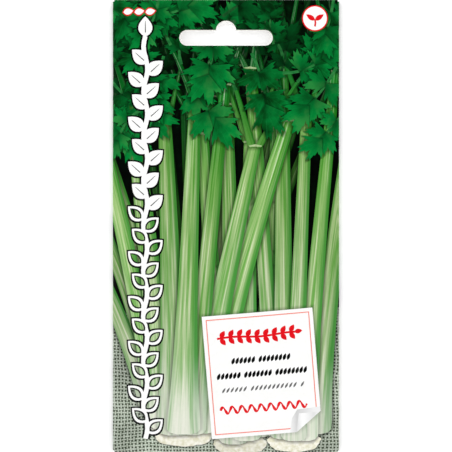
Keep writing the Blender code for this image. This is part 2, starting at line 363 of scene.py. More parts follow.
def drawPicture():
    draw = random.Random(picture["draw"])
    wide = packet["width"] / 2 + picture["beyond"]
    tall = packet["height"] / 2 + picture["beyond"]
    addShape("gap", rectangle(-wide, -tall, wide, tall))
    addShape("cloth", [(-wide, -tall), (wide, -tall), (wide, -27), *picture["clothEdge"], (-wide, -24)])
    drawLeaves(draw, *picture["farLeaves"])
    drawBunch(draw, *picture["farBunch"])
    drawLeaves(draw, *picture["midLeaves"])
    tips = [tip for bunch in picture["bunches"] for tip in drawBunch(draw, *bunch)]
    for i, (x, y, turn) in enumerate(tips):
        light = 0.14 + 0.7 * i / len(tips)  # the leaves further forward are lighter
        turn += draw.uniform(-0.3, 0.3)
        length = draw.uniform(*picture["sprayLength"])
        addSpray((x, y), turn, length, draw, draw.uniform(0.1, 0.8), light)
    drawLeaves(draw, *picture["nearLeaves"])
    for x, y, turn, length in picture["hanging"]:
        addSpray((x, y), turn, length, draw, draw.uniform(0.2, 0.9), 0.9)


def drawLeaves(draw, count, across, along, sizes, light, tint):
    for i in range(count):
        x = across[0] + (across[1] - across[0]) * (i * 0.618034 % 1)
        y = along[0] + (along[1] - along[0]) * (i + draw.random()) / count
        turn = math.pi / 2 + draw.uniform(-1.1, 1.1) - x * 0.012
        addSpray((x, y), turn, draw.uniform(*sizes), draw, tint, light * draw.uniform(0.6, 1.15))


def drawBunch(draw, count, foot, heads, headHeights, width, light, tint):
    # the outer stalks are drawn first, so that the heart of the bunch lies over them
    tips = []
    drawRootPlate(draw, foot, width * 2.75, light)
    for i in sorted(range(count), key=lambda i: -abs(i - (count - 1) / 2)):
        share = (i + 0.5) / count
        headX = heads[0] + (heads[1] - heads[0]) * share + draw.uniform(-2, 2)
        headY = draw.uniform(*headHeights)
        headWidth = width * draw.uniform(0.48, 0.62)
        tone = tint + draw.uniform(-0.3, 0.3)
        bright = light * draw.uniform(0.74, 1.02)
        addStalk(
            (foot[0] + (share - 0.5) * width * 2.6, foot[1] + abs(share - 0.5) * 5 + draw.uniform(0, 2)),
            (headX, headY),
            width * draw.uniform(0.8, 1.2),
            headWidth,
            draw.uniform(1.05, 1.3),
            tone,
            bright,
        )
        tips += drawJoint(draw, headX, headY, headWidth, tone, bright, (share - 0.5) * 1.1)
    return tips


def drawRootPlate(draw, foot, width, light):
    # the pale cut plate that the stalks grow from
    x, y = foot
    rim = []
    for angle in np.linspace(0, 2 * math.pi, 46, endpoint=False):
        size = 1 + draw.uniform(-0.035, 0.035) + 0.03 * math.sin(7 * angle)
        rim.append((x + width / 2 * size * math.cos(angle), y + 1.1 + 3.9 * size * math.sin(angle)))
    halo = [(x + (a - x) * 1.08, y + (b - y) * 1.25) for a, b in rim]
    addShape("root", rim, None, 0.5, light, 0.7, halo)


def drawJoint(draw, x, y, width, tint, light, lean):
    # a pale ring closes the stalk, and two thin branches leave it
    tips = []
    for way in (-1, 1):
        angle = math.pi / 2 - lean * 0.4 - way * draw.uniform(0.25, 0.5)
        length = draw.uniform(*picture["petioleLength"])
        endX, endY = turned(length, 0, x, y, angle)
        thin = picture["petiole"] * draw.uniform(0.8, 1.15)
        start = (x + way * width * 0.3, y - 1.2)
        addStalk(start, (endX, endY), thin, thin * 0.6, 1.1, tint + 0.35, light * 0.85, shade=0.6)
        tips.append((endX, endY, angle))
    ring = [(x - width * 0.53, y - 0.7), (x, y - 0.45), (x + width * 0.53, y - 0.7)]
    addShape("joint", ribbon(ring, [0.45, 0.8, 0.45]), None, tint, light * 0.9, 0.4)
    return tips


# The label, the badge and the border

label = {
    "x": 12.7,
    "y": -51.9,
    "turn": math.radians(4.7),
    "width": 39,
    "height": 43.4,
    "frameInset": 1.25,
    "frameLine": 0.38,
    "curl": (9.0, 6.8),  # how far the lifted corner reaches across and up
    # rows of grains: height, ink, groups, pitch, a grain's length and width, and its slant
    "rows": (
        (5.3, "black", (6, 8), 1.42, (2.6, 1.15), 1.15),
        (0.2, "black", (6, 7, 8), 1.42, (2.6, 1.15), 1.15),
        (-4.8, "grey", (6, 11, 1), 1.5, (2.3, 0.7), 0.95),
    ),
    "sprig": (0, 13.6, 29.6),  # middle and length
    "scroll": (-0.4, -11.9, 30.5),
}


def drawLabel():
    halfWide, halfTall = label["width"] / 2, label["height"] / 2

    def onLabel(points):
        return [turned(a, b, label["x"], label["y"], label["turn"]) for a, b in points]

    def flat(x, y):
        return turned(x - label["x"], y - label["y"], 0, 0, -label["turn"])

    curlWide, curlTall = label["curl"]
    corner = [(halfWide - curlWide, -halfTall), (halfWide, -halfTall + curlTall)]
    sheet = [(-halfWide, halfTall), (-halfWide, -halfTall), *corner, (halfWide, halfTall)]
    halo = [(x * 1.06, y * 1.06) for x, y in sheet]
    addShape("white", onLabel(sheet), flat, shade=0.55, halo=onLabel(halo))
    inset = label["frameInset"]
    for ink in ("frameLine", "white"):
        a, b = halfWide - inset, halfTall - inset
        inner = [(-a, b), (-a, -b), (halfWide - curlWide - inset * 0.2, -b)]
        inner += [(a, -halfTall + curlTall + inset * 0.2), (a, b)]
        addShape(ink, onLabel(inner), flat)
        inset += label["frameLine"]
    drawSprig(onLabel, *label["sprig"])
    for row in label["rows"]:
        drawGrainRow(onLabel, *row)
    drawScroll(onLabel, *label["scroll"])
    drawCurl(onLabel, corner, flat)


def drawGrainRow(onLabel, y, ink, groups, pitch, size, turn):
    # a row of small slanting grains, in groups
    places, x = [], 0.0
    for group in groups:
        places += [x + pitch * i for i in range(group)]
        x = places[-1] + pitch * 1.75
    middle = places[-1] / 2
    length, width = size
    for place in places:
        foot = (place - middle - length / 2 * math.cos(turn), y - length / 2 * math.sin(turn))
        addShape(ink, onLabel(leafOutline(*foot, turn, length, width, steps=7)))


def leafOutline(x, y, turn, length, width, grow=0.0, steps=9):
    # plain pointed leaf from its foot, grow widens it all round
    size, fat = length + 2 * grow, width / 2 + grow
    upper, lower = [], []
    for t in np.linspace(0, 1, steps):
        across = fat * math.sin(math.pi * t**0.85) ** 0.9
        upper.append(turned(size * t - grow, across, x, y, turn))
        lower.append(turned(size * t - grow, -across, x, y, turn))
    return lower + upper[-2:0:-1]


def drawSprig(onLabel, x, y, length):
    # a long red sprig with leaves in pairs
    steps, pairs = 72, 9
    stem = []
    for t in np.linspace(0, 0.93, steps + 1):
        stem.append((x - length / 2 + length * t, y - 0.1 + 0.3 * math.sin(t * 9)))
    addShape("red", onLabel(ribbon(stem, [0.75] * len(stem))))
    for i in range(pairs):
        spotX, spotY = stem[round((i + 0.35) * steps / pairs)]
        for side in (-1, 1):
            leaf = leafOutline(spotX, spotY + side * 0.1, side * 0.95, 3.0, 1.8)
            addShape("red", onLabel(leaf))
    endX, endY = stem[-1]
    addShape("red", onLabel(leafOutline(endX - 0.2, endY, 0.1, 2.8, 1.7)))


def drawScroll(onLabel, x, y, length, waves=9):
    points, widths = [], []
    for t in np.linspace(0, 1, 130):
        angle = t * 2 * math.pi * waves
        points.append((x - length / 2 + length * t, y + 1.2 * math.sin(angle)))
        widths.append(0.75 + 0.25 * math.sin(2 * angle))
    addShape("red", onLabel(ribbon(points, widths)))


def drawCurl(onLabel, corner, flat):
    # the lifted corner: its shaded back, folded over the face of the label
    (lowX, lowY), (sideX, sideY) = corner
    peak = (lowX + 1.3, sideY - 0.2)
    shadow = [(lowX - 2.4, lowY), (lowX, lowY)] + curveThrough((lowX, lowY), peak, (sideX, sideY), 8)[1:]
    shadow += [(sideX, sideY + 1.6), (peak[0] - 0.5, peak[1] + 1.4), (peak[0] - 2.6, peak[1] - 1.5)]
    addShape("curlShadow", onLabel(shadow), flat)
    flap = curveThrough((lowX, lowY), (lowX + 0.6, lowY + 3.8), peak, 6)
    flap += curveThrough(peak, (peak[0] + 3.6, peak[1] - 0.1), (sideX, sideY), 6)[1:]
    addShape("curlBack", onLabel(flap), flat, shade=0.25)


border = {
    "x": -28.4,
    "low": -75.0,
    "high": 67.0,
    "boldFrom": 2.0,
    "keyline": 0.68,
    "pitch": 7.9,
    "sway": 0.7,
    "leafLength": 7.3,
    "leafWidth": 5.0,
    "leafAngle": 0.84,
    "stem": 1.6,
    "lightLine": 1.0,
}


def drawBorder():
    # a climbing vine down the left side: solid leaves above, drawn in outline below
    first = len(shapes)
    low, high, pitch, key = (border[name] for name in ("low", "high", "pitch", "keyline"))
    sizes = (border["leafLength"], border["leafWidth"])

    def stemX(y):
        return border["x"] + border["sway"] * math.sin((y - low) * math.pi / pitch)

    line = [(stemX(y), y) for y in np.linspace(low, high, 80)]
    leaves = []
    for i in range(int((high - low) / pitch)):
        y = low + (i + 0.5) * pitch
        for way in (1, -1):
            turn = math.pi / 2 - way * border["leafAngle"]
            leaves.append((stemX(y), y - way * 0.25 * pitch, turn, y > border["boldFrom"]))
    leaves.append((line[-1][0], line[-1][1] - 0.3, math.pi / 2, True))
    addShape("black", ribbon(line, [border["stem"] + 2 * key] * len(line)))
    for x, y, turn, bold in leaves:
        addShape("black", leafOutline(x, y, turn, *sizes, grow=key))
    addShape("white", ribbon(line, [border["stem"]] * len(line)))
    for x, y, turn, bold in leaves:
        addShape("white", leafOutline(x, y, turn, *sizes))
        if bold:
            vein = [turned(d, 0, x, y, turn) for d in np.linspace(1.6, sizes[0] - 1.6, 5)]
            addShape("black", ribbon(vein, [0.32, 0.3, 0.26, 0.22, 0.1]))
            continue
        addShape("black", leafOutline(x, y, turn, *sizes, grow=-border["lightLine"]))
        windows[len(shapes)] = first
        addShape("window", leafOutline(x, y, turn, *sizes, grow=-border["lightLine"] - key * 0.8))


badge = {"x": 31.4, "y": 73.3, "size": 9.2, "ring": 0.42, "halo": 0.6}


def drawBadge():
    x, y, size = badge["x"], badge["y"], badge["size"]
    outer, inner = size + 2 * badge["halo"], size - 2 * badge["ring"]
    addShape("red", ellipse(x, y, size, size, steps=48), halo=ellipse(x, y, outer, outer), shade=0.3)
    addShape("white", ellipse(x, y, inner, inner, steps=48))
    stem = [(x, y - 2.9), (x + 0.15, y - 1.5), (x, y - 0.4)]
    addShape("red", ribbon(stem, [0.65, 0.6, 0.5]))
    for side in (-1, 1):
        addShape("red", leafOutline(x, y - 0.7, math.pi / 2 - side * 0.98, 3.7, 1.7))


grains = {"count": 3, "x": -36.2, "y": 75.4, "step": 3.9, "turn": 0.16, "size": (3.5, 2.2), "edge": 0.42}


def drawGrainMarks():
    # grains with a red edge, end to end at the top left
    for i in range(grains["count"]):
        spot = (grains["x"] + grains["step"] * i, grains["y"], grains["turn"])
        addShape("red", leafOutline(*spot, *grains["size"], grow=grains["edge"]))
        addShape("white", leafOutline(*spot, *grains["size"]))


# The back of the packet

back = {
    "margin": 34.0,  # half width of the printed area
    "band": (43.5, 50.5),
    "garland": (13, -28.5, 4.6),  # leaves on the band: how many, where the first is, their pitch
    "calendar": (31.0, 38.5),
    "months": 12,
    "sowing": (2, 3, 4),
    "picking": (7, 8, 9, 10),
    "lines": 11,
    "firstLine": 25.0,
    "lineStep": 3.5,
    "lineHeight": 1.1,
    "pictures": (-31, 15.5, 22),  # round pictures: their height, width and pitch
    "draw": 8,
}


def addBack(ink, outline):
    # a shape of the back is put on each flap, and the blank's own edges crop it
    addShape(ink, [behindRight(x, y) for x, y in outline])
    addShape(ink, [behindLeft(x, y) for x, y in outline])


def roundedBar(left, low, right, high, radius, steps=5):
    outline = []
    for x, y, start in (
        (right - radius, high - radius, 0.0),
        (left + radius, high - radius, 0.5),
        (left + radius, low + radius, 1.0),
        (right - radius, low + radius, 1.5),
    ):
        outline += arc(x, y, radius, start * math.pi, (start + 0.5) * math.pi, steps)
    return outline


def drawBack():
    # the picture stops just past the folds; behind it the stock is white
    far = 140
    sideFrom = foldX + sideTurn + packet["bleed"]
    endFrom = foldY + endTurn + packet["bleed"]
    for side in (-1, 1):
        near, away = sorted((side * sideFrom, side * far))
        addShape("white", rectangle(near, -far, away, far))
        near, away = sorted((side * endFrom, side * far))
        addShape("white", rectangle(-far, near, far, away))
    margin = back["margin"]
    addBack("backGreen", roundedBar(-margin, back["band"][0], margin, back["band"][1], 1.6))
    middle = sum(back["band"]) / 2
    addBack("white", ribbon([(-30, middle), (-10, middle), (10, middle), (30, middle)], [0.5] * 4))
    count, first, pitch = back["garland"]
    for i in range(count):
        addBack("white", leafOutline(first + pitch * i, middle, 0.75 * (-1) ** i, 3.6, 1.9))
    drawCalendar(margin)
    drawLines(margin)
    drawSteps()


def drawCalendar(margin):
    # twelve boxes, one for each month, the sowing and the picking ones filled
    low, high = back["calendar"]
    step = 2 * margin / back["months"]
    for i in range(back["months"]):
        left = margin - step * (i + 1)  # January is at the left as the back is read
        addBack("grey", roundedBar(left + 0.25, low, left + step - 0.25, high, 0.5))
        addBack("white", roundedBar(left + 0.45, low + 0.2, left + step - 0.45, high - 0.2, 0.35))
        if i in back["sowing"]:
            addBack("backGreen", roundedBar(left + 1.0, low + 4.2, left + step - 1.0, high - 1.0, 0.6))
        if i in back["picking"]:
            addBack("red", roundedBar(left + 1.0, low + 1.0, left + step - 1.0, low + 3.2, 0.6))


def drawLines(margin):
    # rows of plain grey bars
    draw = random.Random(back["draw"])
    for line in range(back["lines"]):
        y = back["firstLine"] - line * back["lineStep"]
        x = margin
        shortest = margin * (0.35 if line in (4, 10) else 1.0)
        while x > -shortest + 4:
            width = min(draw.uniform(4, 12), x + shortest)
            height = back["lineHeight"]
            addBack("grey", roundedBar(x - width, y - height / 2, x, y + height / 2, height / 2, steps=4))
            x -= width + 1.5


def drawSteps():
    # three round pictures: a seed in its drill, a seedling, a grown plant
    y, size, pitch = back["pictures"]
    for i, x in enumerate((pitch, 0, -pitch)):
        addBack("backGreen", ellipse(x, y, size, size, steps=40))
        addBack("white", ellipse(x, y, size - 1.0, size - 1.0, steps=40))
        addBack("backSoil", arc(x, y, 6.6, -2.8, -0.34, 18))
        if i == 0:
            addBack("white", ellipse(x, y - 4.2, 2.6, 1.5, 0.4, steps=16))
            continue
        height = 3.4 if i == 1 else 6.2
        for way in (-1, 0, 1)[:: 2 if i == 1 else 1]:
            lean = math.pi / 2 - way * (0.75 if i == 1 else 0.42)
            endX, endY = turned(height, 0, x, y - 2.4, lean)
            addBack("backGreen", ribbon([(x, y - 2.6), (endX, endY)], [0.9, 0.5]))
            addBack("backGreen", leafOutline(endX, endY - 0.4, lean, 3.2, 2.0))


# One mesh from the blank, its folds and the ink

cutting = {
    "merge": 0.01,  # points nearer than this become one
    "insideCell": 4.0,  # spacing of points on the bare inner face
}


def blankOutline():
    sideEnd = packet["height"] / 2 - packet["sideFlapInset"]
    endSide = packet["width"] / 2 - packet["endFlapInset"]
    sideReach = 2 * foldX + sideTurn + packet["lap"] / 2
    topReach = foldY + endTurn + packet["topFlap"]
    lowReach = foldY + endTurn + packet["bottomFlap"]
    right = [
        (endSide, topReach), (endSide, foldY), (foldX, foldY), (foldX, sideEnd), (sideReach, sideEnd),
        (sideReach, -sideEnd), (foldX, -sideEnd), (foldX, -foldY), (endSide, -foldY), (endSide, -lowReach),
    ]
    return right + [(-x, y) for x, y in right[::-1]]


def foldLines():
    # each fold is rolled over a few strips, and the left flap steps up at two lines
    lines = []
    steps = packet["foldSteps"]
    for side in (-1, 1):
        for i in range(steps + 1):
            x = side * (foldX + sideTurn * i / steps)
            y = side * (foldY + endTurn * i / steps)
            lines.append(((x, -packet["height"] / 2), (x, packet["height"] / 2)))
            lines.append(((-packet["width"] / 2, y), (packet["width"] / 2, y)))
    stepEnd = -packet["lap"] / 2 - packet["stepClearance"]
    for x in (stepEnd, stepEnd - packet["lapStep"]):
        u = behindLeft(x, 0)[0]
        lines.append(((u, -packet["height"] / 2), (u, packet["height"] / 2)))
    return lines


def surfacePoints(cell):
    # points that carry the front's bulge, set a little out of line so that no row is straight
    points = []
    for u in np.arange(-foldX + cell / 2, foldX, cell):
        for v in np.arange(-foldY + cell / 2, foldY, cell):
            points.append((u + 0.03 * math.sin(7 * v), v + 0.03 * math.sin(5 * u)))
    return points


def inward(outline):
    xs, ys = np.array(outline, float).T
    return np.dot(xs, np.roll(ys, -1)) < np.dot(ys, np.roll(xs, -1))


def cutFlat(points, edges, loops, merge):
    points, *found = delaunay_2d_cdt([Vector(point) for point in points], edges, loops, 0, merge)
    return np.array([tuple(point) for point in points]), *found


def cutInk():
    # every outline cut into one flat mesh, and the ink that shows in each triangle
    points, loops, edges, owners = [], [], [], []

    def addLoop(outline, owner=None):
        start = len(points)
        points.extend(outline[::-1] if inward(outline) else outline)
        numbers = list(range(start, len(points)))
        if owner is None:
            loops.append(numbers)
        else:
            edges.extend(zip(numbers, numbers[1:] + numbers[:1]))
            owners.extend([owner] * len(numbers))

    addLoop(blankOutline())
    addLoop(slotOutline())
    for spot in (behindRight, behindLeft, behindEnd):
        addLoop([spot(x, y) for x, y in slotOutline()])
    firstInk = len(loops)
    for shape in shapes:
        addLoop(shape["outline"])
    for owner, halo in haloes:
        addLoop(halo, owner)
    for line in foldLines():
        points.extend(line)
        edges.append((len(points) - 2, len(points) - 1))
        owners.append(len(shapes))
    flat, joins, triangles, _, sources, covers = cutFlat(points, edges, loops, cutting["merge"])
    kept, tops = [], []
    for triangle, cover in zip(triangles, covers):
        if 0 in cover and not any(0 < number < firstInk for number in cover):
            kept.append(triangle)
            tops.append(topInk(sorted(number - firstInk for number in cover if number >= firstInk)))
    joinOwners = [max([owners[i] for i in near if i < len(edges)], default=-1) for near in sources]
    return (np.array(found) for found in (flat, joins, joinOwners, kept, tops))


def topInk(covering):
    # the last shape drawn shows, unless a window opens what lies under it
    while covering and covering[-1] in windows:
        floor = windows[covering[-1]]
        covering = [number for number in covering if number < floor]
    return covering[-1]


def cutSheet():
    # drops the cuts that part nothing, then meshes what is left afresh
    flat, joins, owners, triangles, tops = cutInk()
    sides = np.sort(np.stack([triangles, np.roll(triangles, -1, axis=1)], axis=2), axis=2).reshape(-1, 2)
    keys = sides[:, 0] * len(flat) + sides[:, 1]
    order = np.argsort(keys, kind="stable")
    joins = np.sort(joins, axis=1)
    wanted = joins[:, 0] * len(flat) + joins[:, 1]
    first = np.searchsorted(keys[order], wanted, side="left")
    last = np.searchsorted(keys[order], wanted, side="right") - 1
    onSheet = last >= first
    joins, owners, first, last = joins[onSheet], owners[onSheet], first[onSheet], last[onSheet]
    topA, topB = tops[order[first] // 3], tops[order[last] // 3]
    parting = (first == last) | (topA != topB) | (owners > np.maximum(topA, topB))
    joins = joins[parting]
    used, numbers = np.unique(joins, return_inverse=True)
    points = flat[used].tolist() + surfacePoints(packet["cell"])
    remade, _, faces, *_ = cutFlat(points, numbers.reshape(-1, 2).tolist(), [], cutting["merge"] / 2)
    faces = np.array(faces)
    found = lookUp(flat, triangles, remade[faces].mean(axis=1))
    faces, found = faces[found >= 0], found[found >= 0]
    print(f"{len(shapes)} shapes of ink cut into {len(faces)} triangles, from {len(triangles)}")
    return remade, faces, tops[found], (flat, triangles)


def lookUp(flat, triangles, spots):
    # number of the flat triangle that lies under each spot, or -1
    corners = [(x, y, 0.0) for x, y in flat.tolist()]
    tree = BVHTree.FromPolygons(corners, triangles.tolist(), all_triangles=True)
    down = Vector((0, 0, -1))
    found = [tree.ray_cast((x, y, 1.0), down)[2] for x, y in spots.tolist()]
    return np.array([-1 if number is None else number for number in found])


def openEdges(triangles):
    # edges with one triangle, in that triangle's direction
    used = set()
    for a, b, c in triangles.tolist():
        used.update(((a, b), (b, c), (c, a)))
    return [(a, b) for a, b in used if (b, a) not in used]


def cutInside(flat, rim, sheet):
    # the bare face has the same rim and folds, and no ink to cut it
    used = sorted({number for edge in rim for number in edge})
    place = {number: i for i, number in enumerate(used)}
    points = flat[used].tolist()
    edges = [(place[a], place[b]) for a, b in rim]
    for line in foldLines():
        points.extend(line)
        edges.append((len(points) - 2, len(points) - 1))
    points += surfacePoints(cutting["insideCell"])
    inside, _, faces, origins, *_ = cutFlat(points, edges, [], cutting["merge"] / 4)
    faces = np.array(faces)
    faces = faces[lookUp(*sheet, inside[faces].mean(axis=1)) >= 0]
    match = {}
    for number, near in enumerate(origins):
        for origin in near:
            if origin < len(used):
                match[used[origin]] = number
    return inside, faces, match


def foldFace(flat, triangles, side):
    # the flat face folded, and moved half the paper's thickness off its middle
    middle = np.stack(foldBlank(flat[:, 0], flat[:, 1]), axis=1)
    corners = middle[triangles]
    facing = np.cross(corners[:, 1] - corners[:, 0], corners[:, 2] - corners[:, 0])
    normals = np.zeros_like(middle)
    for i in range(3):
        np.add.at(normals, triangles[:, i], facing)
    length = np.linalg.norm(normals, axis=1, keepdims=True)
    return (middle + side * normals / np.where(length > 0, length, 1) * packet["paper"] / 2) * mm


def makeEnvelope(inks):
    flat, triangles, tops, sheet = cutSheet()
    rim = openEdges(triangles)
    bare, bareTriangles, match = cutInside(flat, rim, sheet)
    count = len(flat)
    points = np.concatenate([foldFace(flat, triangles, 1), foldFace(bare, bareTriangles, -1)])
    under = bareTriangles[:, ::-1] + count
    rimFaces = [(b, a, match[a] + count, match[b] + count) for a, b in rim]
    mesh = bpy.data.meshes.new("printed_envelope")
    mesh.from_pydata(points.tolist(), [], triangles.tolist() + under.tolist() + rimFaces)

    names = list(inks)
    for name in names:
        mesh.materials.append(inks[name])
    slots = [names.index(shapes[top]["ink"]) for top in tops]
    slots += [names.index("bare")] * (len(under) + len(rimFaces))
    mesh.polygons.foreach_set("material_index", slots)
    smooth = [True] * (len(triangles) + len(under)) + [False] * len(rimFaces)
    mesh.polygons.foreach_set("use_smooth", smooth)
    writeInk(mesh, flat, triangles, tops)
    writeBakeMap(mesh, flat[triangles], bare[bareTriangles][:, ::-1], len(rimFaces))
    dropLoosePoints(mesh)
    return addObject("printed_envelope", mesh)


def addObject(name, data):
    thing = bpy.data.objects.new(name, data)
    bpy.context.scene.collection.objects.link(thing)
    return thing


def dropLoosePoints(mesh):
    cut = bmesh.new()
    cut.from_mesh(mesh)
    bmesh.ops.delete(cut, geom=[v for v in cut.verts if not v.link_faces], context="VERTS")
    cut.to_mesh(mesh)
    cut.free()


def loopDistance(spots, loop):
    # how far each spot lies from a closed line
    start = np.array(loop, float)
    along = np.roll(start, -1, axis=0) - start
    away = spots[:, None] - start
    share = np.clip((away * along).sum(axis=2) / (along**2).sum(axis=1), 0, 1)
    return np.linalg.norm(away - share[..., None] * along, axis=2).min(axis=1)


def insideLoop(spots, loop):
    # a spot is inside where a line to its right crosses the loop an odd number of times
    start = np.array(loop, float)
    end = np.roll(start, -1, axis=0)
    x, y = spots[:, :1], spots[:, 1:]
    passed = (start[:, 1] > y) != (end[:, 1] > y)
    rise = end[:, 1] - start[:, 1]
    crossing = start[:, 0] + (y - start[:, 1]) * (end[:, 0] - start[:, 0]) / np.where(rise == 0, 1, rise)
    return (passed & (x < crossing)).sum(axis=1) % 2 == 1


def castShade(flat, triangles, tops):
    # the shade on each corner: full at the edge of the shape that lies over it, none at its halo
    shade = np.zeros(triangles.shape)
    for number, halo in haloes:
        near = ((flat > np.min(halo, axis=0)) & (flat < np.max(halo, axis=0))).all(axis=1)
        corners = near[triangles] & (tops < number)[:, None]
        used = np.unique(triangles[corners])
        if not len(used):
            continue
        toRim = loopDistance(flat[used], halo)
        toEdge = loopDistance(flat[used], shapes[number]["outline"])
        falloff = np.zeros(len(flat))
        falloff[used] = insideLoop(flat[used], halo) * toRim / np.maximum(toRim + toEdge, cutting["merge"])
        shade = np.maximum(shade, corners * falloff[triangles] * shapes[number]["shade"])
    return shade


def writeInk(mesh, flat, triangles, tops):
    # inkPlace holds each shape's own coordinates, inkTone its tint, lightness and shade
    place = np.zeros((len(triangles), 3, 2))
    tone = np.zeros((len(triangles), 3, 4))
    for number in np.unique(tops):
        shape = shapes[number]
        mine = tops == number
        spots = flat[triangles[mine]]
        if shape["place"]:
            place[mine, :, 0], place[mine, :, 1] = shape["place"](spots[..., 0], spots[..., 1])
        else:
            place[mine] = spots
        tone[mine, :, 0] = shape["tint"]
        tone[mine, :, 1] = shape["light"]
    tone[..., 2] = castShade(flat, triangles, tops)
    tone[..., 3] = 1
    total = len(mesh.loops)
    placeAll = np.zeros((total, 2), np.float32)
    toneAll = np.zeros((total, 4), np.float32)
    placeAll[: place.size // 2] = place.reshape(-1, 2)
    toneAll[: tone.size // 4] = tone.reshape(-1, 4)
    mesh.uv_layers.new(name="inkPlace").data.foreach_set("uv", placeAll.ravel())
    mesh.attributes.new("inkTone", "FLOAT_COLOR", "CORNER").data.foreach_set("color", toneAll.ravel())


bakeMap = {
    "span": 163.0,
    "flapScale": 0.74,
    # where the right, left, top and bottom flaps start, from the middle of the map's low edge
    "flaps": ((1, 1), (38, 1), (1, 122), (1, 143)),
    "flapMargin": (6, 20),  # what the left and bottom flaps reach past the front
    "insideScale": 0.045,
    "inside": (72.4, 2),
    "insideReach": (102, 110),  # half the blank, with its flaps
    "rim": (141.6, 122.5),
    "rimSize": (21, 34),
    "rimColumns": 20,
}


def writeBakeMap(mesh, spots, bareSpots, rimCount):
    # the front takes half of the map, the flaps most of the rest and the bare inside a corner
    half = np.array([bakeMap["span"] / 2, 0])
    spread = spots + (foldX + 1, foldY + 1)
    x, y = spots.mean(axis=1).T
    sideStart, endStart = foldX + sideTurn / 2, foldY + endTurn / 2
    left, low = bakeMap["flapMargin"]
    corners = (
        (x > sideStart, (sideStart, -foldY)),
        (x < -sideStart, (-2 * foldX - sideTurn - left, -foldY)),
        (y > endStart, (-foldX, foldY)),
        (y < -endStart, (-foldX, -foldY - low)),
    )
    for (mine, corner), place in zip(corners, bakeMap["flaps"]):
        spread[mine] = (spots[mine] - corner) * bakeMap["flapScale"] + half + place
    inside = (bareSpots[..., ::-1] + bakeMap["insideReach"]) * bakeMap["insideScale"]
    inside += half + bakeMap["inside"]
    columns = bakeMap["rimColumns"]
    cell = np.array(bakeMap["rimSize"]) / (columns, math.ceil(rimCount / columns))
    number = np.arange(rimCount)
    start = np.stack([number % columns, number // columns], axis=1) * cell + bakeMap["rim"]
    square = np.array([[0, 0], [1, 0], [1, 1], [0, 1]]) * cell * 0.9
    rim = (start[:, None, :] + square).reshape(-1, 2)
    uv = np.concatenate([spread.reshape(-1, 2), inside.reshape(-1, 2), rim]) / bakeMap["span"]
    mesh.uv_layers.new(name="OFBake").data.foreach_set("uv", uv.astype(np.float32).ravel())


# Inks and papers

def linearRgb(hexColour):
    # sRGB hex to the linear values that shaders take
    parts = [int(hexColour[i:i + 2], 16) / 255 for i in (1, 3, 5)]
    return (*[p / 12.92 if p <= 0.04045 else ((p + 0.055) / 1.055) ** 2.4 for p in parts], 1.0)


def addNode(tree, kind, inputs=(), operation=None, out=0, stops=None, **settings):
    # inputs, in order or by name or number, are values, hex colours or the outputs that feed them
    made = tree.nodes.new(kind if "Node" in kind else "ShaderNode" + kind)
    if operation:
        settings["operation"] = operation
    for name, value in settings.items():
        setattr(made, name, value)
    if stops:
        band = made.color_ramp.elements
        band.remove(band[1])
        band[0].position, band[0].color = stops[0][0], linearRgb(stops[0][1])
        for position, colour in stops[1:]:
            band.new(position).color = linearRgb(colour)
    for name, value in inputs.items() if isinstance(inputs, dict) else enumerate(inputs):
        if isinstance(value, bpy.types.NodeSocket):
            tree.links.new(value, made.inputs[name])
        else:
            made.inputs[name].default_value = linearRgb(value) if isinstance(value, str) else value
    return made.outputs[out] if made.outputs else made


def newMaterial(name):
    # the material, and addNode for its tree
    material = bpy.data.materials.new(name)
    material.use_nodes = True
    material.node_tree.nodes.clear()
    return material, partial(addNode, material.node_tree)


def finishSurface(add, inputs):
    add("OutputMaterial", [add("BsdfPrincipled", inputs)])


def noiseScale(size):
    # the scale of a noise whose spots are this many millimetres across
    return 1 / (size * mm)


paperFinish = {
    "roughness": 0.3,
    "specular": 0.25,
    # millimetres across the fibres, the sheet's waves, the ink's mottle and the rubbed spots
    "fibre": 0.625,
    "wave": 3.85,
    "mottle": 1.11,
    "rub": 2.38,
    "fibreBump": 0.06,
    "relief": 0.1,
    "rubbed": "#e9e7e0",
    "edgeWear": 0.45,  # how much of the ink is rubbed off along the side folds
    "wornWidth": 0.28,
    # the inside, which has no coat
    "bareFibre": 0.91,
    "bareTones": ((0.35, "#e9e6de"), (0.65, "#f5f3ee")),
    "bareRoughness": 0.75,
    "bareBump": 0.25,
}


def startInk(name):
    # each ink can read its shape's own coordinates, and its tint, lightness and shade
    material, add = newMaterial(name)
    split = add("SeparateXYZ", [add("UVMap", uv_map="inkPlace")]).node.outputs
    tones = add("SeparateColor", [add("Attribute", attribute_name="inkTone")]).node.outputs
    return SimpleNamespace(
        material=material, add=add, where=add("TexCoord", out="Object"),
        across=split[0], along=split[1], tint=tones[0], light=tones[1], shade=tones[2],
    )


